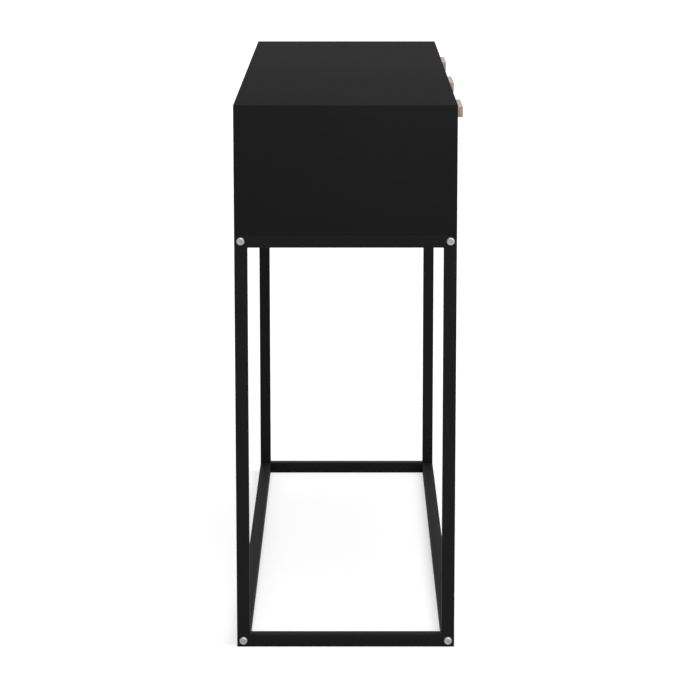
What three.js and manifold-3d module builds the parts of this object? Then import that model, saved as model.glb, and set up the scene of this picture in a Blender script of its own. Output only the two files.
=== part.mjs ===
// Slim writing desk with three drawers: a box of black boards on a bolted frame of square steel tube.
// Millimetres. +X runs along the desk, the drawers face -Y and +Z is up. The origin is on the floor,
// under the middle of the whole object. Left and right are those of a person facing the drawers.

import * as THREE from 'three';
import { mergeVertices } from 'three/addons/utils/BufferGeometryUtils.js';
import Module from 'manifold-3d';

const wasm = await Module();
wasm.setup();

// Overall size
const LENGTH = 1050;
const BODY_DEPTH = 300;
const HEIGHT = 750;

// Steel frame
const TUBE = 17.5;
const TUBE_WALL = 1.25;
const FRAME_HEIGHT = 575.5;
const END_PLATE = 3;

// Bolts that hold the long rails to the end frames: M6 with a button head
const BOLT_RADIUS = 3;
const BOLT_HOLE_RADIUS = 3.3;
const BOLT_REACH = 28;
const HEAD_RADIUS = 5.5;
const HEAD_HEIGHT = 3.25;
const HEAD_EDGE = 0.8;
const HEAD_CROWN_RADIUS = 2.2;
const HEAD_STEPS = 3;
const TIP_CHAMFER = 0.6;
const SOCKET_ACROSS_FLATS = 4;
const SOCKET_DEPTH = 2;
const ROUND_SIDES = 16;

// How far a cutter runs past the faces it goes through
const OVERSHOOT = 1;

// Boards
const BOARD = 12;
const DRAWER_BOARD = 12;
const HARDBOARD = 3;

// Drawers
const DRAWER_NAMES = ['left', 'middle', 'right'];
const FRONT_GAP = 3;
const DRAWER_LENGTH = 250;
const DRAWER_SIDE_BOTTOM = 602.5;
const DRAWER_SIDE_HEIGHT = 102.5;
const GROOVE_ABOVE_SIDE_BOTTOM = 6;
const GROOVE_HEIGHT = 3.5;
const GROOVE_DEPTH = 5.5;
const GROOVE_GAP = 0.5;

// Handles
const HANDLE_LENGTH = 95;
const HANDLE_HEIGHT = 15;
const HANDLE_PROUD = 12;

// Ball-bearing slides, one on each side of each drawer. The section is measured across the gap from
// the case towards the drawer, and up and down from the slide's middle.
const SLIDE_THICKNESS = 12.5;
const SLIDE_HEIGHT = 35;
const SLIDE_MIDDLE_Z = 654;
const SLIDE_SET_BACK = 2;
const SHEET = 1.25;
const CHANNEL_REACH = 10;
const RAIL_HEIGHT = 24;
const RAIL_REACH = 9;
const CAGE_HEIGHT = 29.5;
const CAGE_SHEET = 0.75;
const CAGE_START = 2;
const CAGE_REACH = 6.5;
const CAGE_LENGTH = 150;
const DRAWER_TRAVEL = 185;

// Worked out from the sizes above
const HALF_LENGTH = LENGTH / 2;
const FRONT_Y = -(BODY_DEPTH - HANDLE_PROUD) / 2;
const BACK_Y = FRONT_Y + BODY_DEPTH;
const RAIL_END_X = HALF_LENGTH - TUBE;
const CASE_INSIDE_X = HALF_LENGTH - BOARD;
const CASE_FLOOR_Z = FRAME_HEIGHT + BOARD;
const CASE_CEILING_Z = HEIGHT - BOARD;
const OPENING_WIDTH = (LENGTH - 4 * BOARD) / 3;
const DRAWER_PITCH = OPENING_WIDTH + BOARD;
const DRAWER_BACK_OF_FRONT_Y = FRONT_Y + BOARD;
const DRAWER_END_Y = DRAWER_BACK_OF_FRONT_Y + DRAWER_LENGTH;
const DRAWER_SIDE_TOP = DRAWER_SIDE_BOTTOM + DRAWER_SIDE_HEIGHT;
const DRAWER_FLOOR_Z = DRAWER_SIDE_BOTTOM + GROOVE_ABOVE_SIDE_BOTTOM;

const materials = {
  steel: new THREE.MeshStandardMaterial({ color: 0x1b1b1c, roughness: 0.55, metalness: 0.2 }),
  board: new THREE.MeshStandardMaterial({ color: 0x1a1a1b, roughness: 0.6, metalness: 0 }),
  lining: new THREE.MeshStandardMaterial({ color: 0x2a2a2b, roughness: 0.7, metalness: 0 }),
  hardboard: new THREE.MeshStandardMaterial({ color: 0x232323, roughness: 0.75, metalness: 0 }),
  oak: new THREE.MeshStandardMaterial({ color: 0xc9ae93, roughness: 0.6, metalness: 0 }),
  bolt: new THREE.MeshStandardMaterial({ color: 0xb4b5b7, roughness: 0.35, metalness: 0.9 }),
  slide: new THREE.MeshStandardMaterial({ color: 0xa9abae, roughness: 0.4, metalness: 0.9 }),
  cage: new THREE.MeshStandardMaterial({ color: 0x8d8f92, roughness: 0.4, metalness: 0.9 }),
};

const desk = new THREE.Group();

function addMesh(name, geometry, material) {
  const mesh = new THREE.Mesh(geometry, material);
  mesh.name = name;
  desk.add(mesh);
  return mesh;
}

// A board or block from its lowest to its highest corner.
function addBlock(name, material, low, high) {
  const size = high.map((value, i) => value - low[i]);
  const mesh = addMesh(name, new THREE.BoxGeometry(...size), material);
  mesh.position.set(...high.map((value, i) => (value + low[i]) / 2));
  return mesh;
}

// A block as geometry, already in place, for cutting.
function blockGeometry(low, high) {
  const size = high.map((value, i) => value - low[i]);
  const middle = high.map((value, i) => (value + low[i]) / 2);
  return new THREE.BoxGeometry(...size).translate(...middle);
}

const X_AXIS = new THREE.Vector3(1, 0, 0);
const Y_AXIS = new THREE.Vector3(0, 1, 0);
const Z_AXIS = new THREE.Vector3(0, 0, 1);

// A section drawn in (y, z) and run along +X from startX.
function extrudeAlongX(shape, startX, length) {
  const geometry = new THREE.ExtrudeGeometry(shape, { depth: length, bevelEnabled: false });
  geometry.applyMatrix4(new THREE.Matrix4().makeBasis(Y_AXIS, Z_AXIS, X_AXIS));
  return geometry.translate(startX, 0, 0);
}

// A section drawn in (x, z) and run from startY to startY + length.
function extrudeAlongY(shape, startY, length) {
  const geometry = new THREE.ExtrudeGeometry(shape, { depth: length, bevelEnabled: false });
  geometry.applyMatrix4(new THREE.Matrix4().makeBasis(X_AXIS, Z_AXIS, Y_AXIS.clone().negate()));
  return geometry.translate(0, startY + length, 0);
}

// A cylinder along X that passes through both ends it is given.
function boreAlongX(radius, fromX, toX, y, z) {
  const geometry = new THREE.CylinderGeometry(radius, radius, toX - fromX, ROUND_SIDES);
  return geometry.rotateZ(Math.PI / 2).translate((fromX + toX) / 2, y, z);
}

function toSolid(geometry) {
  const bare = geometry.clone();
  bare.deleteAttribute('normal');
  bare.deleteAttribute('uv');
  const merged = mergeVertices(bare, 1e-4);
  const triangles = [];
  for (let i = 0; i < merged.index.count; i += 3) {
    const corners = [0, 1, 2].map((k) => merged.index.getX(i + k));
    if (new Set(corners).size === 3) {
      triangles.push(...corners);
    }
  }
  return new wasm.Manifold(new wasm.Mesh({
    numProp: 3,
    vertProperties: new Float32Array(merged.attributes.position.array),
    triVerts: new Uint32Array(triangles),
  }));
}

function toGeometry(solid) {
  const mesh = solid.getMesh();
  const geometry = new THREE.BufferGeometry();
  geometry.setAttribute('position', new THREE.BufferAttribute(mesh.vertProperties, 3));
  geometry.setIndex(new THREE.BufferAttribute(mesh.triVerts, 1));
  geometry.computeVertexNormals();
  return geometry;
}

function cut(geometry, cutters) {
  const solid = cutters.reduce((rest, cutter) => rest.subtract(toSolid(cutter)), toSolid(geometry));
  return toGeometry(solid);
}

function polygon(points) {
  return new THREE.Shape(points.map(([x, y]) => new THREE.Vector2(x, y)));
}

// A rectangular loop in (y, z): the end frame's outline, drawn in by inset from both its edges.
function loopShape(inset) {
  const rectangle = (edge) => polygon([[FRONT_Y + edge, edge], [BACK_Y - edge, edge],
    [BACK_Y - edge, FRAME_HEIGHT - edge], [FRONT_Y + edge, FRAME_HEIGHT - edge]]);
  const shape = rectangle(inset);
  shape.holes.push(rectangle(TUBE - inset));
  return shape;
}

// Middles of the tube's four corners, where the long rails and their bolts are.
const CORNERS = {
  front_bottom: [FRONT_Y + TUBE / 2, TUBE / 2],
  back_bottom: [BACK_Y - TUBE / 2, TUBE / 2],
  front_top: [FRONT_Y + TUBE / 2, FRAME_HEIGHT - TUBE / 2],
  back_top: [BACK_Y - TUBE / 2, FRAME_HEIGHT - TUBE / 2],
};

// The hollow of the tube is open through the bolt holes.
function addEndFrame(name, startX) {
  const hollow = extrudeAlongX(loopShape(TUBE_WALL), startX + TUBE_WALL, TUBE - 2 * TUBE_WALL);
  const bores = Object.values(CORNERS).map(
    ([y, z]) => boreAlongX(BOLT_HOLE_RADIUS, startX - OVERSHOOT, startX + TUBE + OVERSHOOT, y, z));
  addMesh(name, cut(extrudeAlongX(loopShape(0), startX, TUBE), [hollow, ...bores]), materials.steel);
}

// A long rail is a tube with a threaded plate welded into each end.
function addLongRail(name, [y, z]) {
  const half = TUBE / 2;
  const inside = half - TUBE_WALL;
  const insideX = RAIL_END_X - END_PLATE;
  const tube = blockGeometry([-RAIL_END_X, y - half, z - half], [RAIL_END_X, y + half, z + half]);
  const hollow = blockGeometry([-insideX, y - inside, z - inside], [insideX, y + inside, z + inside]);
  const boreEnd = RAIL_END_X + OVERSHOOT;
  const bore = boreAlongX(BOLT_HOLE_RADIUS, -boreEnd, boreEnd, y, z);
  addMesh(name, cut(tube, [hollow, bore]), materials.steel);
}

// The bolt's axis is local Y, with its seat at 0 and its head above it.
function boltGeometry() {
  const profile = [[0, -BOLT_REACH], [BOLT_RADIUS - TIP_CHAMFER, -BOLT_REACH],
    [BOLT_RADIUS, TIP_CHAMFER - BOLT_REACH], [BOLT_RADIUS, 0], [HEAD_RADIUS, 0], [HEAD_RADIUS, HEAD_EDGE]];
  for (let i = 1; i <= HEAD_STEPS; i += 1) {
    const turn = (i / HEAD_STEPS) * (Math.PI / 2);
    const radius = HEAD_CROWN_RADIUS + (HEAD_RADIUS - HEAD_CROWN_RADIUS) * Math.cos(turn);
    profile.push([radius, HEAD_EDGE + (HEAD_HEIGHT - HEAD_EDGE) * Math.sin(turn)]);
  }
  profile.push([0, HEAD_HEIGHT]);
  const points = profile.map(([radius, along]) => new THREE.Vector2(radius, along));
  const socketRadius = SOCKET_ACROSS_FLATS / Math.sqrt(3);
  const socket = new THREE.CylinderGeometry(socketRadius, socketRadius, 2 * SOCKET_DEPTH, 6);
  return cut(new THREE.LatheGeometry(points, ROUND_SIDES), [socket.translate(0, HEAD_HEIGHT, 0)]);
}

function addBolts(side, direction) {
  const geometry = boltGeometry();
  for (const [corner, [y, z]] of Object.entries(CORNERS)) {
    const bolt = addMesh(`${side}_${corner}_bolt`, geometry, materials.bolt);
    bolt.rotation.z = -direction * Math.PI / 2;
    bolt.position.set(direction * HALF_LENGTH, y, z);
  }
}

function addFrame() {
  addEndFrame('left_end_frame', -HALF_LENGTH);
  addEndFrame('right_end_frame', RAIL_END_X);
  for (const [corner, place] of Object.entries(CORNERS)) {
    addLongRail(`${corner}_rail`, place);
  }
  addBolts('left', -1);
  addBolts('right', 1);
}

// The top and the two sides meet in mitres, and the other boards stand between them.
function addCase() {
  const { board } = materials;
  const insideX = CASE_INSIDE_X;
  const outline = [[-HALF_LENGTH, HEIGHT], [-insideX, CASE_CEILING_Z], [insideX, CASE_CEILING_Z],
    [HALF_LENGTH, HEIGHT]];
  addMesh('desk_top_panel', extrudeAlongY(polygon(outline), FRONT_Y, BODY_DEPTH), board);
  for (const [side, direction] of [['left', -1], ['right', 1]]) {
    const section = [[HALF_LENGTH, FRAME_HEIGHT], [HALF_LENGTH, HEIGHT], [insideX, CASE_CEILING_Z],
      [insideX, FRAME_HEIGHT]].map(([x, z]) => [direction * x, z]);
    addMesh(`case_${side}_side`, extrudeAlongY(polygon(section), FRONT_Y, BODY_DEPTH), board);
  }
  addBlock('case_bottom_panel', board, [-insideX, FRONT_Y, FRAME_HEIGHT], [insideX, BACK_Y, CASE_FLOOR_Z]);
  const addDivider = (name, x) => addBlock(
    name, board, [x, FRONT_Y, CASE_FLOOR_Z], [x + BOARD, BACK_Y - BOARD, CASE_CEILING_Z]);
  addDivider('left_divider', -insideX + OPENING_WIDTH);
  addDivider('right_divider', insideX - OPENING_WIDTH - BOARD);
  addBlock('case_back_panel', board, [-insideX, BACK_Y - BOARD, CASE_FLOOR_Z],
    [insideX, BACK_Y, CASE_CEILING_Z]);
}

// The groove for the drawer's bottom stops behind the drawer's sides, so that the ends don't show it.
function addDrawerFront(name, middleX, grooveHalf) {
  const half = OPENING_WIDTH / 2 - FRONT_GAP;
  const inner = DRAWER_BACK_OF_FRONT_Y;
  const board = blockGeometry([middleX - half, FRONT_Y, CASE_FLOOR_Z + FRONT_GAP],
    [middleX + half, inner, CASE_CEILING_Z - FRONT_GAP]);
  const groove = blockGeometry([middleX - grooveHalf, inner - GROOVE_DEPTH, DRAWER_FLOOR_Z],
    [middleX + grooveHalf, inner + OVERSHOOT, DRAWER_FLOOR_Z + GROOVE_HEIGHT]);
  addMesh(name, cut(board, [groove]), materials.board);
}

// outward is -1 for the left side and 1 for the right one.
function addDrawerSide(name, outerX, outward) {
  const inner = outerX - outward * DRAWER_BOARD;
  const groove = inner + outward * GROOVE_DEPTH;
  const floor = DRAWER_FLOOR_Z;
  const outline = [[outerX, DRAWER_SIDE_BOTTOM], [inner, DRAWER_SIDE_BOTTOM], [inner, floor],
    [groove, floor], [groove, floor + GROOVE_HEIGHT], [inner, floor + GROOVE_HEIGHT],
    [inner, DRAWER_SIDE_TOP], [outerX, DRAWER_SIDE_TOP]];
  addMesh(name, extrudeAlongY(polygon(outline), DRAWER_BACK_OF_FRONT_Y, DRAWER_LENGTH), materials.lining);
}

// A channel of folded sheet, drawn from its web at reach 0 with its open side towards +1.
function channelSection(height, reach, sheet) {
  const half = height / 2;
  return [[0, -half], [reach, -half], [reach, -half + sheet], [sheet, -half + sheet],
    [sheet, half - sheet], [reach, half - sheet], [reach, half], [0, half]];
}

// Places a channel's web at webX, opening towards the given direction along X.
function addChannel(name, material, section, webX, towards, startY, length) {
  const outline = section.map(([across, up]) => [webX + towards * across, SLIDE_MIDDLE_Z + up]);
  addMesh(name, extrudeAlongY(polygon(outline), startY, length), material);
}

// caseX is the case's face that the slide is screwed to, and towards points from there to the drawer.
function addSlide(prefix, caseX, towards) {
  const startY = DRAWER_BACK_OF_FRONT_Y + SLIDE_SET_BACK;
  const length = DRAWER_LENGTH;
  addChannel(`${prefix}_slide_channel`, materials.slide,
    channelSection(SLIDE_HEIGHT, CHANNEL_REACH, SHEET), caseX, towards, startY, length);
  const drawerX = caseX + towards * SLIDE_THICKNESS;
  addChannel(`${prefix}_slide_rail`, materials.slide,
    channelSection(RAIL_HEIGHT, RAIL_REACH, SHEET), drawerX, -towards, startY, length);
  addChannel(`${prefix}_ball_cage`, materials.cage,
    channelSection(CAGE_HEIGHT, CAGE_REACH, CAGE_SHEET), caseX + towards * CAGE_START, towards,
    startY + DRAWER_TRAVEL / 2, CAGE_LENGTH);
}

function addDrawer(which, middleX) {
  const name = `${which}_drawer`;
  const halfOpening = OPENING_WIDTH / 2;
  const halfBox = halfOpening - SLIDE_THICKNESS;
  const insideX = halfBox - DRAWER_BOARD;
  const floorTop = DRAWER_FLOOR_Z + HARDBOARD;
  const handleTop = CASE_CEILING_Z - FRONT_GAP;
  const grooveHalf = insideX + GROOVE_DEPTH;
  const bottomHalf = grooveHalf - GROOVE_GAP;
  const bottomStart = DRAWER_BACK_OF_FRONT_Y - GROOVE_DEPTH + GROOVE_GAP;
  addDrawerFront(`${name}_front`, middleX, grooveHalf);
  addBlock(`${name}_handle`, materials.oak,
    [middleX - HANDLE_LENGTH / 2, FRONT_Y - HANDLE_PROUD, handleTop - HANDLE_HEIGHT],
    [middleX + HANDLE_LENGTH / 2, FRONT_Y, handleTop]);
  addDrawerSide(`${name}_left_side`, middleX - halfBox, -1);
  addDrawerSide(`${name}_right_side`, middleX + halfBox, 1);
  addBlock(`${name}_back`, materials.lining,
    [middleX - insideX, DRAWER_END_Y - DRAWER_BOARD, floorTop],
    [middleX + insideX, DRAWER_END_Y, DRAWER_SIDE_TOP]);
  addBlock(`${name}_bottom`, materials.hardboard,
    [middleX - bottomHalf, bottomStart, DRAWER_FLOOR_Z], [middleX + bottomHalf, DRAWER_END_Y, floorTop]);
  addSlide(`${name}_left`, middleX - halfOpening, 1);
  addSlide(`${name}_right`, middleX + halfOpening, -1);
}

addFrame();
addCase();
DRAWER_NAMES.forEach((which, i) => addDrawer(which, (i - 1) * DRAWER_PITCH));

export default desk;
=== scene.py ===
"""Looks for the slim writing desk: materials, rounded edges, slides, fasteners, light and camera."""

import math

import bmesh
import bpy
from mathutils import Matrix, Vector


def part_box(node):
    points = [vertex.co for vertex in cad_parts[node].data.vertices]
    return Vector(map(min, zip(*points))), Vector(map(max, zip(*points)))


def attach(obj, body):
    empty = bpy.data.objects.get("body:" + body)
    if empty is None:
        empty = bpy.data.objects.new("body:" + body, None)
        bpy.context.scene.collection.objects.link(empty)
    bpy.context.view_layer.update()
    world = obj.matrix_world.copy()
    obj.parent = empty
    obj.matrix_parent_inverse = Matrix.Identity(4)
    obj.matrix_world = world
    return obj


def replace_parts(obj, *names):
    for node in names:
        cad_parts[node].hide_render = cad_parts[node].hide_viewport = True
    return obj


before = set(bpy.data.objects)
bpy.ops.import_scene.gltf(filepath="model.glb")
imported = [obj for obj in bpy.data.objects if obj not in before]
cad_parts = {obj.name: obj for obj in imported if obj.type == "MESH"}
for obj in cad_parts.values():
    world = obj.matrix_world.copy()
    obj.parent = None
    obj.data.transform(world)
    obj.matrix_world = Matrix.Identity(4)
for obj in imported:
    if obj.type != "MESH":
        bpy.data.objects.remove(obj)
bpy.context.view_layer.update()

MM = 0.001
CASE_BODY = "case_and_frame"
DRAWERS = ("left_drawer", "middle_drawer", "right_drawer")
CORNERS = ("front_bottom", "back_bottom", "front_top", "back_top")
ENDS = {"left": -1, "right": 1}

# Rounding of edges. An edge that turns by more than the sharp angle is rounded, and shading is
# smooth across edges that turn by less than the smooth angle.
BOARD_ROUND = 0.25 * MM
TUBE_ROUND = 0.8 * MM
HANDLE_ROUND = 1.1 * MM
SHARP_ANGLE = math.radians(30)
SMOOTH_ANGLE = math.radians(40)

# Frame bolts: M6 with a button head and a hexagon socket
BOLT_RADIUS = 3 * MM
BOLT_HEAD_RADIUS = 5.5 * MM
BOLT_HEAD_HEIGHT = 3.25 * MM
BOLT_HEAD_EDGE = 0.8 * MM
BOLT_CROWN_RADIUS = 2.9 * MM
BOLT_DISH_DEPTH = 0.25 * MM
BOLT_DISH_RIM = 2.8 * MM
BOLT_DISH_RADIUS = 2.5 * MM
SOCKET_ACROSS_FLATS = 4 * MM
SOCKET_DEPTH = 2.1 * MM

# Screws and cams
TIP_CHAMFER = 0.6 * MM
SEAT_CHAMFER = 0.15 * MM
CUT_ABOVE = 1 * MM
PAN_RADIUS = 2 * MM
PAN_HEAD_RADIUS = 4 * MM
PAN_HEAD_HEIGHT = 2.3 * MM
PAN_HEAD_EDGE = 0.7 * MM
PAN_CROWN_RADIUS = 1.2 * MM
PAN_CROSS_ARM = 2.1 * MM
PAN_CROSS_HALF = 0.45 * MM
PAN_CROSS_DEPTH = 1.4 * MM
FLAT_HEAD_PROUD = 0.2 * MM
FLAT_CROSS_DEPTH = 0.9 * MM
FLAT_CROSS_ARM_SHARE = 0.58
FLAT_CROSS_HALF_SHARE = 0.12
CAM_RADIUS = 6 * MM
CAM_DEPTH = 9 * MM
CAM_PROUD = 0.3 * MM
CAM_RIM = 0.1 * MM
CAM_CHAMFER = 0.3 * MM
CAM_CROSS_ARM = 3.4 * MM
CAM_CROSS_HALF = 0.8 * MM
CAM_CROSS_DEPTH = 2 * MM
CAM_ARROW_TIP = 5.4 * MM
CAM_ARROW_BASE = 4.2 * MM
CAM_ARROW_HALF = 0.8 * MM
CAM_ARROW_DEPTH = 0.3 * MM
CAM_BEHIND_FRONT = 24 * MM
CASE_SCREW_REACH = 26 * MM
DIVIDER_SCREW_REACH = 36 * MM
DIVIDER_SCREW_HEAD = 4.2 * MM
DIVIDER_SCREW_RADIUS = 2.4 * MM
HANDLE_SCREW_REACH = 20 * MM
HANDLE_SCREW_PITCH = 64 * MM
BACK_SCREW_REACH = 34 * MM
BACK_SCREW_HEAD = 3.4 * MM
BACK_SCREW_RADIUS = 2 * MM
SLIDE_SCREW_REACH = 11 * MM
SLIDE_SCREW_HEAD = 3.3 * MM
SLIDE_SCREW_RADIUS = 1.7 * MM

# Where fasteners sit, as shares of what they go through, and how far each is turned from the last
CASE_SCREW_SHARE = 0.8
DIVIDER_SCREW_SHARES = (0.2, 0.8)
DRAWER_INSET_SHARE = 0.16
TWIST_STEP = 37

# Weld beads in the end frames' inner corners
WELD_LEG = 1.6 * MM

# Slides. A section runs across the gap from its own board and up from the slide's middle.
SHEET = 1.1 * MM
SHEET_BEND = 1.6 * MM
CAGE_SHEET = 0.75 * MM
CAGE_BEND = 1 * MM
HOLE_RADIUS = 2.3 * MM
HOLE_CUT = 3 * MM
WINDOW_RADIUS = 5 * MM
WINDOW_HALF = 7 * MM
BALL_RADIUS = 2.1 * MM
BALLS_PER_ROW = 8
BALL_FROM_WALL = 4 * MM

# Light. Places and sizes are in metres, and a softbox is (place, size, watts).
ROOM_LIGHT = 0.38
KEY_LIGHT = 2.3
KEY_ANGLE = math.radians(75)
KEY_FROM = (-0.6, -0.8, 3.0)
SOFTBOXES = {
    "end_fill": ((-6.8, -2.4, 3.0), (4.0, 4.0), 44),
    "front_fill": ((0.6, -3.4, 1.5), (2.6, 1.8), 14),
    "back_fill": ((0.8, 3.2, 1.8), (2.6, 1.8), 10),
}
SOFTBOX_TARGET = (0, 0, 0.4)
FLOOR_GLOW = 0.56
FLOOR_HALF = 40

# Camera: lens and sensor in millimetres, place in metres, and degrees below level
LENS = 143.4
SENSOR_WIDTH = 36
EYE = (-4.2335, 0.0, 1.1356)
LOOKING_DOWN = 10.951


# ---------------------------------------------------------------- node trees

class Shader:
    """A Principled material and short ways to add nodes to it."""

    def __init__(self, name, color, roughness, metallic=0.0, specular=0.5):
        self.material = bpy.data.materials.new(name)
        self.material.use_nodes = True
        self.nodes = self.material.node_tree.nodes
        self.links = self.material.node_tree.links
        self.surface = self.nodes["Principled BSDF"]
        self.surface.inputs["Base Color"].default_value = (*color, 1)
        self.surface.inputs["Roughness"].default_value = roughness
        self.surface.inputs["Metallic"].default_value = metallic
        self.surface.inputs["Specular IOR Level"].default_value = specular
        self.place = self.nodes.new("ShaderNodeTexCoord").outputs["Object"]

    def add(self, kind, inputs=None, **settings):
        node = self.nodes.new(kind)
        for key, value in settings.items():
            setattr(node, key, value)
        for key, value in (inputs or {}).items():
            self.put(node.inputs[key], value)
        return node

    def put(self, socket, value):
        if isinstance(value, bpy.types.NodeSocket):
            self.links.new(value, socket)
        else:
            socket.default_value = value

    def stretched(self, scale, offset=(0, 0, 0)):
        """The object's coordinates, scaled and then moved, for a pattern with a direction."""
        node = self.add("ShaderNodeMapping", {"Vector": self.place, "Location": offset, "Scale": scale})
        return node.outputs[0]

    def noise(self, place, scale, detail=3.0, roughness=0.5):
        inputs = {"Vector": place, "Scale": scale, "Detail": detail, "Roughness": roughness}
        return self.add("ShaderNodeTexNoise", inputs).outputs["Fac"]

    def math(self, operation, a, b=0.0):
        return self.add("ShaderNodeMath", {0: a, 1: b}, operation=operation).outputs[0]

    def vector(self, operation, a, b):
        return self.add("ShaderNodeVectorMath", {0: a, 1: b}, operation=operation).outputs[0]

    def remap(self, value, low, high, start=0.0, end=1.0):
        inputs = {"Value": value, "From Min": start, "From Max": end, "To Min": low, "To Max": high}
        return self.add("ShaderNodeMapRange", inputs).outputs[0]

    def mix(self, factor, a, b):
        node = self.add("ShaderNodeMix", data_type="RGBA")
        self.put(node.inputs[0], factor)
        for socket, value in ((node.inputs[6], a), (node.inputs[7], b)):
            self.put(socket, (*value, 1) if isinstance(value, tuple) else value)
        return node.outputs[2]

    def bump(self, height, depth, below=None):
        """Raises the surface by up to depth metres where height is 1, on top of an earlier bump."""
        node = self.add("ShaderNodeBump", {"Height": height, "Distance": depth, "Strength": 1.0})
        if below is not None:
            self.links.new(below, node.inputs["Normal"])
        return node.outputs[0]

    def finish(self, color=None, roughness=None, normal=None):
        for key, value in (("Base Color", color), ("Roughness", roughness), ("Normal", normal)):
            if value is not None:
                self.links.new(value, self.surface.inputs[key])
        return self.material


def powder_coat():
    """Matt black powder paint: a shallow orange peel with a finer grit in it."""
    s = Shader("black_powder_coat", (0.0077, 0.0077, 0.0081), 0.5, specular=0.16)
    peel = s.noise(s.place, 620, detail=2)
    grit = s.noise(s.place, 2600, detail=2)
    cloud = s.noise(s.place, 14, detail=3)
    color = s.mix(cloud, (0.0067, 0.0067, 0.0071), (0.0088, 0.0088, 0.0092))
    roughness = s.remap(s.math("ADD", peel, grit), 0.44, 0.60, 0.6, 1.4)
    normal = s.bump(grit, 0.006 * MM, s.bump(peel, 0.03 * MM))
    return s.finish(color, roughness, normal)


def board_face(name, grain, dark, light, roughness):
    """Melamine-faced board: fine pores drawn out along the grain, an axis of the row frame."""
    s = Shader(name, light, roughness, specular=0.038)
    along = [900.0, 900.0, 900.0]
    along["xyz".index(grain)] = 45.0
    pores = s.noise(s.stretched(along), 1.0, detail=3, roughness=0.6)
    pearl = s.noise(s.place, 1900, detail=2)
    cloud = s.noise(s.place, 9, detail=4, roughness=0.6)
    color = s.mix(s.math("MULTIPLY", pores, cloud), light, dark)
    rough = s.remap(pores, roughness - 0.05, roughness + 0.06, 0.3, 0.7)
    normal = s.bump(pearl, 0.005 * MM, s.bump(pores, 0.012 * MM))
    return s.finish(color, rough, normal)


def edge_band():
    """Plastic edge band, smoother than the board's faces."""
    s = Shader("black_edge_band", (0.0085, 0.0085, 0.0090), 0.46, specular=0.16)
    ripple = s.noise(s.place, 380, detail=1)
    fine = s.noise(s.place, 1700, detail=2)
    color = s.mix(fine, (0.0078, 0.0078, 0.0082), (0.0094, 0.0094, 0.0098))
    return s.finish(color, s.remap(fine, 0.42, 0.50, 0.3, 0.7), s.bump(ripple, 0.01 * MM))


def hardboard():
    """Thin black-lacquered hardboard with matted fibres."""
    s = Shader("black_hardboard", (0.018, 0.017, 0.016), 0.6, specular=0.3)
    fibres = s.noise(s.stretched((420, 260, 420)), 1.0, detail=6, roughness=0.7)
    flecks = s.noise(s.place, 1300, detail=3)
    color = s.mix(fibres, (0.013, 0.012, 0.0115), (0.026, 0.024, 0.022))
    return s.finish(color, s.remap(flecks, 0.5, 0.72, 0.3, 0.7), s.bump(fibres, 0.04 * MM))


def pale_wood():
    """Solid wood with its grain along X: growth rings, fibres and short dark pores."""
    s = Shader("pale_wood", (0.56, 0.44, 0.36), 0.55, specular=0.4)
    place = s.stretched((0.09, 1, 1), (0, 0.196, -0.702))
    sway = s.add("ShaderNodeTexNoise", {"Vector": place, "Scale": 38.0, "Detail": 3.0})
    swayed = s.vector("SUBTRACT", sway.outputs["Color"], (0.5, 0.5, 0.5))
    shift = s.vector("MULTIPLY", swayed, (0, 0.010, 0.010))
    across = s.vector("MULTIPLY", place, (0, 1, 1))
    bent = s.vector("ADD", across, shift)
    radius = s.add("ShaderNodeVectorMath", {0: bent}, operation="LENGTH").outputs["Value"]
    ring = s.math("FRACT", s.math("MULTIPLY", radius, 430.0))
    late = s.math("POWER", ring, 3.0)
    fibres = s.noise(s.stretched((14, 1500, 1500)), 1.0, detail=4, roughness=0.65)
    pores = s.noise(s.stretched((70, 2300, 2300)), 1.0, detail=1)
    pore = s.remap(pores, 0.0, 1.0, 0.66, 0.76)
    early_tone = s.mix(fibres, (0.48, 0.385, 0.322), (0.64, 0.54, 0.468))
    ringed = s.mix(s.math("MULTIPLY", late, 0.55), early_tone, (0.35, 0.26, 0.205))
    color = s.mix(s.math("MULTIPLY", pore, 0.6), ringed, (0.20, 0.13, 0.09))
    roughness = s.remap(fibres, 0.48, 0.64, 0.3, 0.7)
    lowered = s.math("SUBTRACT", fibres, pore)
    return s.finish(color, roughness, s.bump(lowered, 0.035 * MM))


def zinc(name, tone, roughness):
    """Zinc-plated steel with a faint cloudiness and fine rubbing marks."""
    s = Shader(name, (tone, tone, tone * 1.02), roughness, metallic=1.0)
    cloud = s.noise(s.place, 110, detail=4, roughness=0.6)
    rub = s.noise(s.stretched((2600, 260, 2600)), 1.0, detail=3)
    dull = (tone * 0.90, tone * 0.91, tone * 0.92)
    bright = (tone * 1.03, tone * 1.04, tone * 1.04)
    color = s.mix(cloud, dull, bright)
    rough = s.remap(s.math("ADD", cloud, rub), roughness - 0.05, roughness + 0.07, 0.7, 1.3)
    return s.finish(color, rough, s.bump(rub, 0.003 * MM))


# Dark and light tones: of boards with their grain along X, of those across it, and of the drawers' foil. The
# two board sets are one black melamine; the set along X, with the top, is painted a shade darker and the set
# across it, with the ends, a shade lighter: painted shade and painted light that set how bright the top and
# the ends read under the lamps.
ALONG_PAINTED_SHADE_TONES = ((0.0106, 0.0107, 0.0109), (0.0147, 0.0149, 0.0151))
ACROSS_PAINTED_LIGHT_TONES = ((0.0112, 0.0113, 0.0115), (0.0156, 0.0158, 0.0160))
FOIL_TONES = ((0.010, 0.010, 0.0105), (0.016, 0.016, 0.0165))

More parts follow.
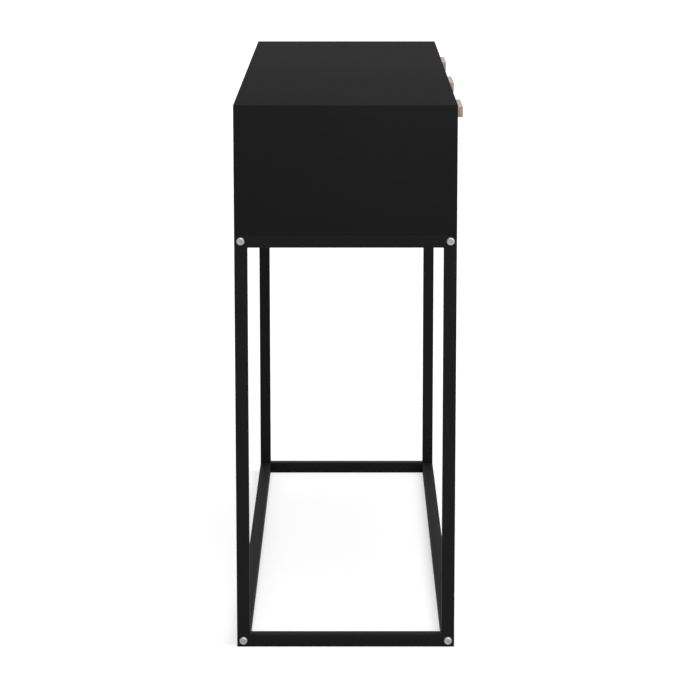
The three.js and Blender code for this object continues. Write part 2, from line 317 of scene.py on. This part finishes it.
MATERIALS = {
    "steel": powder_coat(),
    # Painted shade and painted light: the along board's tones are a shade darker and the across board's a
    # shade lighter, to offset how the lamps fall on the top and the ends.
    "board_x": board_face("black_board_along_painted_shade", "x", *ALONG_PAINTED_SHADE_TONES, 0.67),
    "board_y": board_face("black_board_across_painted_light", "y", *ACROSS_PAINTED_LIGHT_TONES, 0.67),
    "foil_x": board_face("black_foil_along", "x", *FOIL_TONES, 0.50),
    "foil_y": board_face("black_foil_across", "y", *FOIL_TONES, 0.50),
    "edge": edge_band(),
    "hardboard": hardboard(),
    "wood": pale_wood(),
    "bolt": zinc("zinc_bolt", 0.67, 0.50),
    "slide": zinc("zinc_slide", 0.55, 0.34),
    "ball": zinc("polished_ball", 0.70, 0.12),
}


# ---------------------------------------------------------------- mesh helpers

def place_piece(name, mesh, materials, body):
    """Links a mesh made in the row frame as a piece that rides on a body."""
    mesh.set_sharp_from_angle(angle=SMOOTH_ANGLE)
    piece = bpy.data.objects.new(name, mesh)
    bpy.context.scene.collection.objects.link(piece)
    for material in materials:
        mesh.materials.append(MATERIALS[material])
    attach(piece, body)
    return piece


def mesh_from(bm, name):
    """Turns a bmesh into a mesh with its faces pointing out, and frees it."""
    bmesh.ops.recalc_face_normals(bm, faces=bm.faces)
    for face in bm.faces:
        face.smooth = True
    mesh = bpy.data.meshes.new(name)
    bm.to_mesh(mesh)
    bm.free()
    return mesh


def cad_copy(node):
    """The CAD node's own surface with its split vertices joined and its flat faces made whole."""
    bm = bmesh.new()
    bm.from_mesh(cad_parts[node].data)
    bmesh.ops.remove_doubles(bm, verts=bm.verts, dist=0.001 * MM)
    bmesh.ops.dissolve_limit(bm, angle_limit=math.radians(1), verts=bm.verts, edges=bm.edges)
    return bm


def skin_between(bm, first, last):
    """Closes the sides between two matching loops of vertices, and their two ends."""
    bm.faces.new(first)
    bm.faces.new(last)
    for i in range(len(first)):
        after = (i + 1) % len(first)
        bm.faces.new((first[i], first[after], last[after], last[i]))


def round_edges(bm, width, segments=2):
    sharp = [e for e in bm.edges if e.calc_face_angle(0) > SHARP_ANGLE]
    bmesh.ops.bevel(bm, geom=sharp, offset=width, segments=segments, profile=0.5, affect="EDGES")


def rounded_board(node, name, face_material, body, edge_material="edge"):
    """The CAD board with rounded edges. Its narrow faces and roundings have the edge material."""
    bm = cad_copy(node)
    low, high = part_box(node)
    thin = min(range(3), key=lambda axis: high[axis] - low[axis])
    round_edges(bm, BOARD_ROUND)
    for face in bm.faces:
        face.material_index = 0 if abs(face.normal[thin]) > 0.9 else 1
    piece = place_piece(name, mesh_from(bm, name), (face_material, edge_material), body)
    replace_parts(piece, node)


# ---------------------------------------------------------------- steel frame

def rounded_square(half, radius, segments=4):
    """Outline of a tube's section round (0, 0)."""
    points = []
    for quarter in range(4):
        for step in range(segments + 1):
            turn = math.radians(90 * quarter + 90 * step / segments)
            corner = math.radians(90 * quarter + 45)
            middle = (half - radius) * math.sqrt(2)
            points.append((middle * math.cos(corner) + radius * math.cos(turn),
                           middle * math.sin(corner) + radius * math.sin(turn)))
    return points


def end_frame(side):
    """A closed loop of tube with mitred corners. Each outline point makes one rectangle."""
    node = f"{side}_end_frame"
    low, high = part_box(node)
    half = (high.x - low.x) / 2
    middle_x = (high.x + low.x) / 2
    bm = bmesh.new()
    rings = []
    for across, inward in rounded_square(half, TUBE_ROUND):
        inset = half + inward
        rings.append([bm.verts.new((middle_x + across, y, z)) for y, z in (
            (low.y + inset, low.z + inset), (high.y - inset, low.z + inset),
            (high.y - inset, high.z - inset), (low.y + inset, high.z - inset))])
    for ring, following in zip(rings, rings[1:] + rings[:1]):
        for corner in range(4):
            after = (corner + 1) % 4
            bm.faces.new((ring[corner], ring[after], following[after], following[corner]))
    piece = place_piece(f"{side}_frame_loop", mesh_from(bm, node), ("steel",), CASE_BODY)
    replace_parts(piece, node)


def long_rail(corner):
    """A straight tube along X with closed ends."""
    node = f"{corner}_rail"
    low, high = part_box(node)
    half = (high.z - low.z) / 2
    middle = (low + high) / 2
    bm = bmesh.new()
    outline = rounded_square(half, TUBE_ROUND)
    first, last = ([bm.verts.new((x, middle.y + y, middle.z + z)) for y, z in outline]
                   for x in (low.x, high.x))
    skin_between(bm, first, last)
    piece = place_piece(f"{corner}_tube", mesh_from(bm, node), ("steel",), CASE_BODY)
    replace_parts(piece, node)


for side in ENDS:
    end_frame(side)
for corner in CORNERS:
    long_rail(corner)


# ---------------------------------------------------------------- turned parts

def turned(profile, steps):
    """A solid of revolution round Z from (radius, height) points that start and end on the axis."""
    bm = bmesh.new()
    rings = []
    for radius, height in profile:
        if radius == 0:
            rings.append([bm.verts.new((0, 0, height))])
        else:
            turns = [2 * math.pi * (i + 0.5) / steps for i in range(steps)]
            rings.append([bm.verts.new((radius * math.cos(t), radius * math.sin(t), height)) for t in turns])
    for lower, upper in zip(rings, rings[1:]):
        for i in range(steps):
            after = (i + 1) % steps
            quad = [lower[i % len(lower)], lower[after % len(lower)],
                    upper[after % len(upper)], upper[i % len(upper)]]
            bm.faces.new(list(dict.fromkeys(quad)))
    return mesh_from(bm, "turned")


def prism(outline, bottom, top):
    """A straight-sided solid from an outline in (x, y)."""
    bm = bmesh.new()
    lower, upper = ([bm.verts.new((x, y, z)) for x, y in outline] for z in (bottom, top))
    skin_between(bm, lower, upper)
    return mesh_from(bm, "prism")


def cut(mesh, cutters):
    """The mesh with the cutters taken out of it."""
    body = bpy.data.objects.new("cut_body", mesh)
    tools = [bpy.data.objects.new("cutter", cutter) for cutter in cutters]
    for part in (body, *tools):
        bpy.context.scene.collection.objects.link(part)
    for tool in tools:
        modifier = body.modifiers.new("cut", "BOOLEAN")
        modifier.object = tool
        modifier.operation = "DIFFERENCE"
        modifier.solver = "EXACT"
    graph = bpy.context.evaluated_depsgraph_get()
    result = bpy.data.meshes.new_from_object(body.evaluated_get(graph), depsgraph=graph)
    for part in (body, *tools):
        bpy.data.objects.remove(part)
    return result


def joined(mesh, places, name):
    """One mesh with a copy of the given one at each place, a 4 by 4 matrix."""
    bm = bmesh.new()
    for place in places:
        copy = mesh.copy()
        copy.transform(place)
        if place.determinant() < 0:
            copy.flip_normals()
        bm.from_mesh(copy)
        bpy.data.meshes.remove(copy)
    result = bpy.data.meshes.new(name)
    bm.to_mesh(result)
    bm.free()
    return result


def regular(sides, radius):
    turns = [2 * math.pi * i / sides for i in range(sides)]
    return [(radius * math.cos(t), radius * math.sin(t)) for t in turns]


def domed_head(radius, height, edge, crown, steps=7):
    """Profile points of a button or pan head from its seat up to the rim of its flat crown."""
    points = [(radius - SEAT_CHAMFER, 0.0), (radius, SEAT_CHAMFER), (radius, edge)]
    for step in range(1, steps + 1):
        turn = math.radians(90 * step / steps)
        across = crown + (radius - crown) * math.cos(turn)
        points.append((across, edge + (height - edge) * math.sin(turn)))
    return points


def cross(arm, half_width):
    """Outline of a plus sign."""
    corners = ((arm, -half_width), (arm, half_width), (half_width, half_width))
    points = []
    for quarter in range(4):
        turn = Matrix.Rotation(math.radians(90 * quarter), 2)
        points += [tuple(turn @ Vector(corner)) for corner in corners]
    return points


def shank(radius, reach):
    """Profile points of the chamfered tip of a plain shank, whose seat is at height 0."""
    return [(0, -reach), (radius - TIP_CHAMFER, -reach), (radius, -reach + TIP_CHAMFER)]


def button_bolt(reach):
    """M6 bolt with a button head, a shallow dish in its crown and a hexagon socket, its seat at z 0."""
    height = BOLT_HEAD_HEIGHT
    dish = height - BOLT_DISH_DEPTH
    profile = shank(BOLT_RADIUS, reach) + [(BOLT_RADIUS, 0.0)]
    profile += domed_head(BOLT_HEAD_RADIUS, height, BOLT_HEAD_EDGE, BOLT_CROWN_RADIUS)
    profile += [(BOLT_DISH_RIM, height), (BOLT_DISH_RADIUS, dish), (0, dish)]
    hexagon = regular(6, SOCKET_ACROSS_FLATS / math.sqrt(3))
    socket = prism(hexagon, height - SOCKET_DEPTH, height + CUT_ABOVE)
    return cut(turned(profile, 48), [socket])


def pan_screw(reach):
    """4 mm screw with a low domed head and a cross recess, its seat at z 0."""
    height = PAN_HEAD_HEIGHT
    profile = shank(PAN_RADIUS, reach) + [(PAN_RADIUS, 0.0)]
    profile += domed_head(PAN_HEAD_RADIUS, height, PAN_HEAD_EDGE, PAN_CROWN_RADIUS, 5)
    profile.append((0, height))
    recess = prism(cross(PAN_CROSS_ARM, PAN_CROSS_HALF), height - PAN_CROSS_DEPTH, height + CUT_ABOVE)
    return cut(turned(profile, 24), [recess])


def flat_screw(head_radius, shank_radius, reach):
    """Countersunk screw with a cross recess. Its flat head stands a hair above z 0."""
    depth = head_radius - shank_radius
    profile = shank(shank_radius, reach)
    profile += [(shank_radius, -depth), (head_radius, 0.0)]
    profile += [(head_radius - SEAT_CHAMFER, FLAT_HEAD_PROUD), (0, FLAT_HEAD_PROUD)]
    plus = cross(head_radius * FLAT_CROSS_ARM_SHARE, head_radius * FLAT_CROSS_HALF_SHARE)
    recess = prism(plus, -FLAT_CROSS_DEPTH, CUT_ABOVE)
    return cut(turned(profile, 24), [recess])


def cam_lock():
    """Cam that pulls two boards together: a disc let into the board, with a cross recess and a pointer."""
    profile = [(0, -CAM_DEPTH), (CAM_RADIUS, -CAM_DEPTH), (CAM_RADIUS, CAM_RIM),
               (CAM_RADIUS - CAM_CHAMFER, CAM_PROUD), (0, CAM_PROUD)]
    recess = prism(cross(CAM_CROSS_ARM, CAM_CROSS_HALF), -CAM_CROSS_DEPTH, CUT_ABOVE)
    arrow = [(CAM_ARROW_TIP, 0), (CAM_ARROW_BASE, CAM_ARROW_HALF), (CAM_ARROW_BASE, -CAM_ARROW_HALF)]
    pointer = prism(arrow, -CAM_ARROW_DEPTH, CUT_ABOVE)
    return cut(turned(profile, 32), [recess, pointer])


def facing(place, direction, twist):
    """Stands a turned part's +Z along a direction, turned by twist degrees about it."""
    stand = Vector(direction).to_track_quat("Z", "Y").to_matrix().to_4x4()
    return Matrix.Translation(place) @ stand @ Matrix.Rotation(math.radians(twist), 4, "Z")


def fasteners(name, mesh, spots, direction, body, first_twist):
    """Copies of one fastener at each spot, each turned differently, as one piece."""
    places = [facing(spot, direction, first_twist + TWIST_STEP * i) for i, spot in enumerate(spots)]
    return place_piece(name, joined(mesh, places, name), ("bolt",), body)


def frame_bolts():
    """One bolt at each tube corner of each end frame."""
    mesh = button_bolt(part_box("left_front_bottom_bolt")[1].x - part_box("left_end_frame")[0].x)
    for number, (side, direction) in enumerate(ENDS.items()):
        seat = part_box(f"{side}_end_frame")[1 if direction > 0 else 0].x
        for corner_number, corner in enumerate(CORNERS):
            node = f"{side}_{corner}_bolt"
            low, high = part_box(node)
            middle = (low + high) / 2
            twist = 17 + 23 * corner_number + 31 * number
            piece = fasteners(f"{side}_{corner}_button_bolt", mesh, [(seat, middle.y, middle.z)],
                              (direction, 0, 0), CASE_BODY, twist)
            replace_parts(piece, node)


def case_screws():
    """Screws up through the long top tubes, and through the case bottom into the dividers."""
    mesh = pan_screw(CASE_SCREW_REACH)
    for row in ("front", "back"):
        low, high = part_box(f"{row}_top_rail")
        ends = (low.x * CASE_SCREW_SHARE, 0.0, high.x * CASE_SCREW_SHARE)
        spots = [(x, (low.y + high.y) / 2, low.z) for x in ends]
        fasteners(f"{row}_case_screws", mesh, spots, (0, 0, -1), CASE_BODY, 11)
    mesh = flat_screw(DIVIDER_SCREW_HEAD, DIVIDER_SCREW_RADIUS, DIVIDER_SCREW_REACH)
    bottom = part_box("case_bottom_panel")[0].z
    for divider in ("left_divider", "right_divider"):
        low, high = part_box(divider)
        middle_x = (low.x + high.x) / 2
        spots = [(middle_x, low.y + share * (high.y - low.y), bottom) for share in DIVIDER_SCREW_SHARES]
        fasteners(f"{divider}_screws", mesh, spots, (0, 0, -1), CASE_BODY, 5)


def weld_beads(side):
    """A small bead with a hollow face along each inner corner of an end frame."""
    low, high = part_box(f"{side}_end_frame")
    tube = high.x - low.x
    middle_x = (low.x + high.x) / 2
    turns = [math.radians(15 * i) for i in range(6, -1, -1)]
    corner = [(0.0, 0.0)] + [(WELD_LEG - WELD_LEG * math.cos(t), WELD_LEG - WELD_LEG * math.sin(t))
                             for t in turns]
    bead = prism(corner, TUBE_ROUND - tube / 2, tube / 2 - TUBE_ROUND)
    places = []
    for quarter in range(4):
        up = 1 if quarter in (0, 1) else -1
        along = 1 if quarter in (0, 3) else -1
        y = low.y + tube if along > 0 else high.y - tube
        z = low.z + tube if up > 0 else high.z - tube
        places.append(Matrix(((0, 0, 1, middle_x), (along, 0, 0, y), (0, up, 0, z), (0, 0, 0, 1))))
    name = f"{side}_frame_welds"
    place_piece(name, joined(bead, places, name), ("steel",), CASE_BODY)


frame_bolts()
case_screws()
for side in ENDS:
    weld_beads(side)


# ---------------------------------------------------------------- case

CASE_BOARDS = {
    "desk_top_panel": ("desk_top", "board_x"),
    "case_bottom_panel": ("case_bottom", "board_x"),
    "case_left_side": ("case_left_end", "board_y"),
    "case_right_side": ("case_right_end", "board_y"),
    "left_divider": ("left_partition", "board_y"),
    "right_divider": ("right_partition", "board_y"),
    "case_back_panel": ("case_back", "board_x"),
}
for node, (name, material) in CASE_BOARDS.items():
    rounded_board(node, name, material, CASE_BODY)


# ---------------------------------------------------------------- drawers

def handle(drawer):
    """A wooden block with softly rounded edges."""
    node = f"{drawer}_handle"
    bm = cad_copy(node)
    round_edges(bm, HANDLE_ROUND, 4)
    piece = place_piece(f"{drawer}_wood_handle", mesh_from(bm, node), ("wood",), drawer)
    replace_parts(piece, node)


def drawer_box(drawer):
    """The boards of a drawer: a front like the case, a foil-faced box and a hardboard bottom."""
    rounded_board(f"{drawer}_front", f"{drawer}_face", "board_x", drawer)
    for part in ("left_side", "right_side"):
        rounded_board(f"{drawer}_{part}", f"{drawer}_{part}_board", "foil_y", drawer)
    rounded_board(f"{drawer}_back", f"{drawer}_back_board", "foil_x", drawer)
    rounded_board(f"{drawer}_bottom", f"{drawer}_bottom_sheet", "hardboard", drawer, "hardboard")


def drawer_fittings(drawer):
    """Handle screws inside the front, cams that hold the sides to it, and screws into the back."""
    inner_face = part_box(f"{drawer}_front")[1].y
    handle_low, handle_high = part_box(f"{drawer}_handle")
    middle = (handle_low + handle_high) / 2
    spots = [(middle.x + share * HANDLE_SCREW_PITCH, inner_face, middle.z) for share in (-0.5, 0.5)]
    screw = pan_screw(HANDLE_SCREW_REACH)
    fasteners(f"{drawer}_handle_screws", screw, spots, (0, 1, 0), drawer, 20)
    back_low, back_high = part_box(f"{drawer}_back")
    cam = cam_lock()
    screw = flat_screw(BACK_SCREW_HEAD, BACK_SCREW_RADIUS, BACK_SCREW_REACH)
    for side, outward in ENDS.items():
        low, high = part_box(f"{drawer}_{side}_side")
        face = high.x if outward > 0 else low.x
        inset = DRAWER_INSET_SHARE * (high.z - low.z)
        heights = (low.z + inset, high.z - inset)
        spots = [(face, low.y + CAM_BEHIND_FRONT, z) for z in heights]
        fasteners(f"{drawer}_{side}_cams", cam, spots, (outward, 0, 0), drawer, 8)
        spots = [(face, (back_low.y + back_high.y) / 2, z) for z in heights]
        fasteners(f"{drawer}_{side}_back_screws", screw, spots, (outward, 0, 0), drawer, 30)


for drawer in DRAWERS:
    drawer_box(drawer)
    handle(drawer)
    drawer_fittings(drawer)


# ---------------------------------------------------------------- slides

def arc(middle, radius, start, end, steps=4):
    """Points along an arc from one angle in degrees to another."""
    turns = [math.radians(start + (end - start) * i / steps) for i in range(steps + 1)]
    return [(middle[0] + radius * math.cos(t), middle[1] + radius * math.sin(t)) for t in turns]


def thickened(path, thickness):
    """The outline of a sheet that follows an open path."""
    left, right = [], []
    for i, point in enumerate(path):
        before = Vector(path[max(i - 1, 0)])
        after = Vector(path[min(i + 1, len(path) - 1)])
        normal = (after - before).orthogonal().normalized() * thickness / 2
        left.append((point[0] + normal.x, point[1] + normal.y))
        right.append((point[0] - normal.x, point[1] - normal.y))
    return left + right[::-1]


def folded_section(size, thickness, bend, lip):
    """Web, round bends and flanges, with a lip that curls in at each flange's edge if asked."""
    reach, height = size
    half = thickness / 2
    top = height / 2 - half
    edge = reach - half
    upper = [(half, 0.0), (half, top - bend)]
    upper += arc((half + bend, top - bend), bend, 180, 90)
    upper += arc((edge - bend, top - bend), bend, 90, 0) if lip else [(edge, top)]
    lower = [(a, -b) for a, b in reversed(upper[1:])]
    return thickened(lower + upper, thickness)


def folded_sheet(outline, wall, towards, middle_z, ends, slots):
    """A folded sheet along Y. Each slot through its web is (share of its length, half slot, radius)."""
    bm = bmesh.new()
    first, last = ([bm.verts.new((wall + towards * a, y, middle_z + b)) for a, b in outline]
                   for y in ends)
    skin_between(bm, first, last)
    cutters = []
    for share, half_slot, radius in slots:
        rim = arc((0, half_slot), radius, 0, 180, 10) + arc((0, -half_slot), radius, 180, 360, 10)
        cutter = prism(rim, -HOLE_CUT, HOLE_CUT)
        y = ends[0] + share * (ends[1] - ends[0])
        cutter.transform(Matrix.Translation((wall, y, middle_z)) @ Matrix.Rotation(math.pi / 2, 4, "Y"))
        cutters.append(cutter)
    return cut(mesh_from(bm, "folded_sheet"), cutters)


def slide_part(node, name, body, towards, sheet, bend, lip, slots):
    """One folded part of a slide in place of its CAD node. Towards is +1 if its web is at its low X."""
    low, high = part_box(node)
    outline = folded_section((high.x - low.x, high.z - low.z), sheet, bend, lip)
    wall = low.x if towards > 0 else high.x
    mesh = folded_sheet(outline, wall, towards, (low.z + high.z) / 2, (low.y, high.y), slots)
    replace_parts(place_piece(name, mesh, ("slide",), body), node)


def ball():
    """A ball as rings of vertices round Z."""
    turns = [math.pi * i / 8 for i in range(1, 8)]
    profile = [(BALL_RADIUS * math.sin(t), -BALL_RADIUS * math.cos(t)) for t in turns]
    return turned([(0, -BALL_RADIUS)] + profile + [(0, BALL_RADIUS)], 14)


# Slots as (share of the length, half slot in mm), with screws in some that are round holes
CHANNEL_HOLES = ((0.08, 0), (0.22, 4), (0.36, 2), (0.5, 0), (0.64, 2), (0.78, 4), (0.92, 0))
RAIL_HOLES = ((0.1, 0), (0.3, 3), (0.5, 0), (0.7, 3), (0.9, 0))
CHANNEL_SCREWS = (0.08, 0.5, 0.92)
RAIL_SCREWS = (0.1, 0.5, 0.9)
WINDOWS = (0.14, 0.38, 0.62, 0.86)


def holes(pattern):
    return [(share, half * MM, HOLE_RADIUS) for share, half in pattern]


def slide_screws(prefix, part, shares, towards, body):
    """Flat screws through a slide part's web, at shares of its length."""
    low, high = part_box(f"{prefix}_{part}")
    web = low.x + SHEET if towards > 0 else high.x - SHEET
    spots = [(web, low.y + share * (high.y - low.y), (low.z + high.z) / 2) for share in shares]
    screw = flat_screw(SLIDE_SCREW_HEAD, SLIDE_SCREW_RADIUS, SLIDE_SCREW_REACH)
    fasteners(f"{prefix}_{part}_screws", screw, spots, (towards, 0, 0), body, 13)


def drawer_slide(drawer, side):
    """Channel on the case, rail on the drawer, and the ball cage between them."""
    prefix = f"{drawer}_{side}"
    towards = 1 if side == "left" else -1
    cages = f"{drawer}_ball_cages"
    slide_part(f"{prefix}_slide_channel", f"{prefix}_channel", CASE_BODY, towards,
               SHEET, SHEET_BEND, True, holes(CHANNEL_HOLES))
    slide_part(f"{prefix}_slide_rail", f"{prefix}_rail", drawer, -towards,
               SHEET, SHEET_BEND, False, holes(RAIL_HOLES))
    slide_part(f"{prefix}_ball_cage", f"{prefix}_cage", cages, towards,
               CAGE_SHEET, CAGE_BEND, False, [(share, WINDOW_HALF, WINDOW_RADIUS) for share in WINDOWS])
    slide_screws(prefix, "slide_channel", CHANNEL_SCREWS, towards, CASE_BODY)
    slide_screws(prefix, "slide_rail", RAIL_SCREWS, -towards, drawer)

    low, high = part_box(f"{prefix}_ball_cage")
    x = low.x + BALL_FROM_WALL if towards > 0 else high.x - BALL_FROM_WALL
    middle_z = (low.z + high.z) / 2
    race = (high.z - low.z - CAGE_SHEET) / 2
    spacing = (high.y - low.y) / BALLS_PER_ROW
    places = [Matrix.Translation((x, low.y + (i + 0.5) * spacing, middle_z + up))
              for i in range(BALLS_PER_ROW) for up in (race, -race)]
    place_piece(f"{prefix}_balls", joined(ball(), places, "balls"), ("ball",), cages)


for drawer in DRAWERS:
    for side in ENDS:
        drawer_slide(drawer, side)


# ---------------------------------------------------------------- stage

def floor():
    """A plain pale floor that is bright to the eye and soft in its shadows."""
    corners = [(x * FLOOR_HALF, y * FLOOR_HALF, 0) for x, y in ((-1, -1), (1, -1), (1, 1), (-1, 1))]
    mesh = bpy.data.meshes.new("floor")
    mesh.from_pydata(corners, [], [(0, 1, 2, 3)])
    piece = bpy.data.objects.new("floor", mesh)
    bpy.context.scene.collection.objects.link(piece)
    s = Shader("pale_floor", (0.56, 0.56, 0.56), 0.8, specular=0.1)
    s.surface.inputs["Emission Color"].default_value = (1, 1, 1, 1)
    seen = s.add("ShaderNodeLightPath").outputs["Is Camera Ray"]
    s.links.new(s.math("MULTIPLY", seen, FLOOR_GLOW), s.surface.inputs["Emission Strength"])
    mesh.materials.append(s.material)


def aimed(name, kind, place, target, power):
    """A light at a place, pointed at a target. Returns its data."""
    data = bpy.data.lights.new(name, kind)
    data.energy = power
    light = bpy.data.objects.new(name, data)
    light.location = place
    light.rotation_euler = (Vector(target) - Vector(place)).to_track_quat("-Z", "Y").to_euler()
    bpy.context.scene.collection.objects.link(light)
    return data


def softbox(name, place, size, power):
    data = aimed(name, "AREA", place, SOFTBOX_TARGET, power)
    data.shape = "RECTANGLE"
    data.size, data.size_y = size


def studio():
    """An even white room, a very soft key from above and softboxes for the reflections."""
    world = bpy.data.worlds.new("studio")
    bpy.context.scene.world = world
    world.use_nodes = True
    nodes = world.node_tree.nodes
    links = world.node_tree.links
    background = nodes["Background"]
    background.inputs["Color"].default_value = (1, 1, 1, 1)
    path = nodes.new("ShaderNodeLightPath")
    strength = nodes.new("ShaderNodeMapRange")
    strength.inputs["To Min"].default_value = ROOM_LIGHT
    strength.inputs["To Max"].default_value = 1.0
    links.new(path.outputs["Is Camera Ray"], strength.inputs["Value"])
    links.new(strength.outputs[0], background.inputs["Strength"])
    key = aimed("key", "SUN", KEY_FROM, (0, 0, 0), KEY_LIGHT)
    key.angle = KEY_ANGLE
    for name, (place, size, power) in SOFTBOXES.items():
        softbox(name, place, size, power)
    bpy.context.scene.view_settings.view_transform = "Standard"


def camera():
    """Looks at the left end from a little above the top, along +X."""
    data = bpy.data.cameras.new("camera")
    data.lens = LENS
    data.sensor_width = SENSOR_WIDTH
    eye = bpy.data.objects.new("camera", data)
    eye.location = EYE
    eye.rotation_euler = (math.radians(90 - LOOKING_DOWN), 0, math.radians(-90))
    bpy.context.scene.collection.objects.link(eye)
    bpy.context.scene.camera = eye


floor()
studio()
camera()
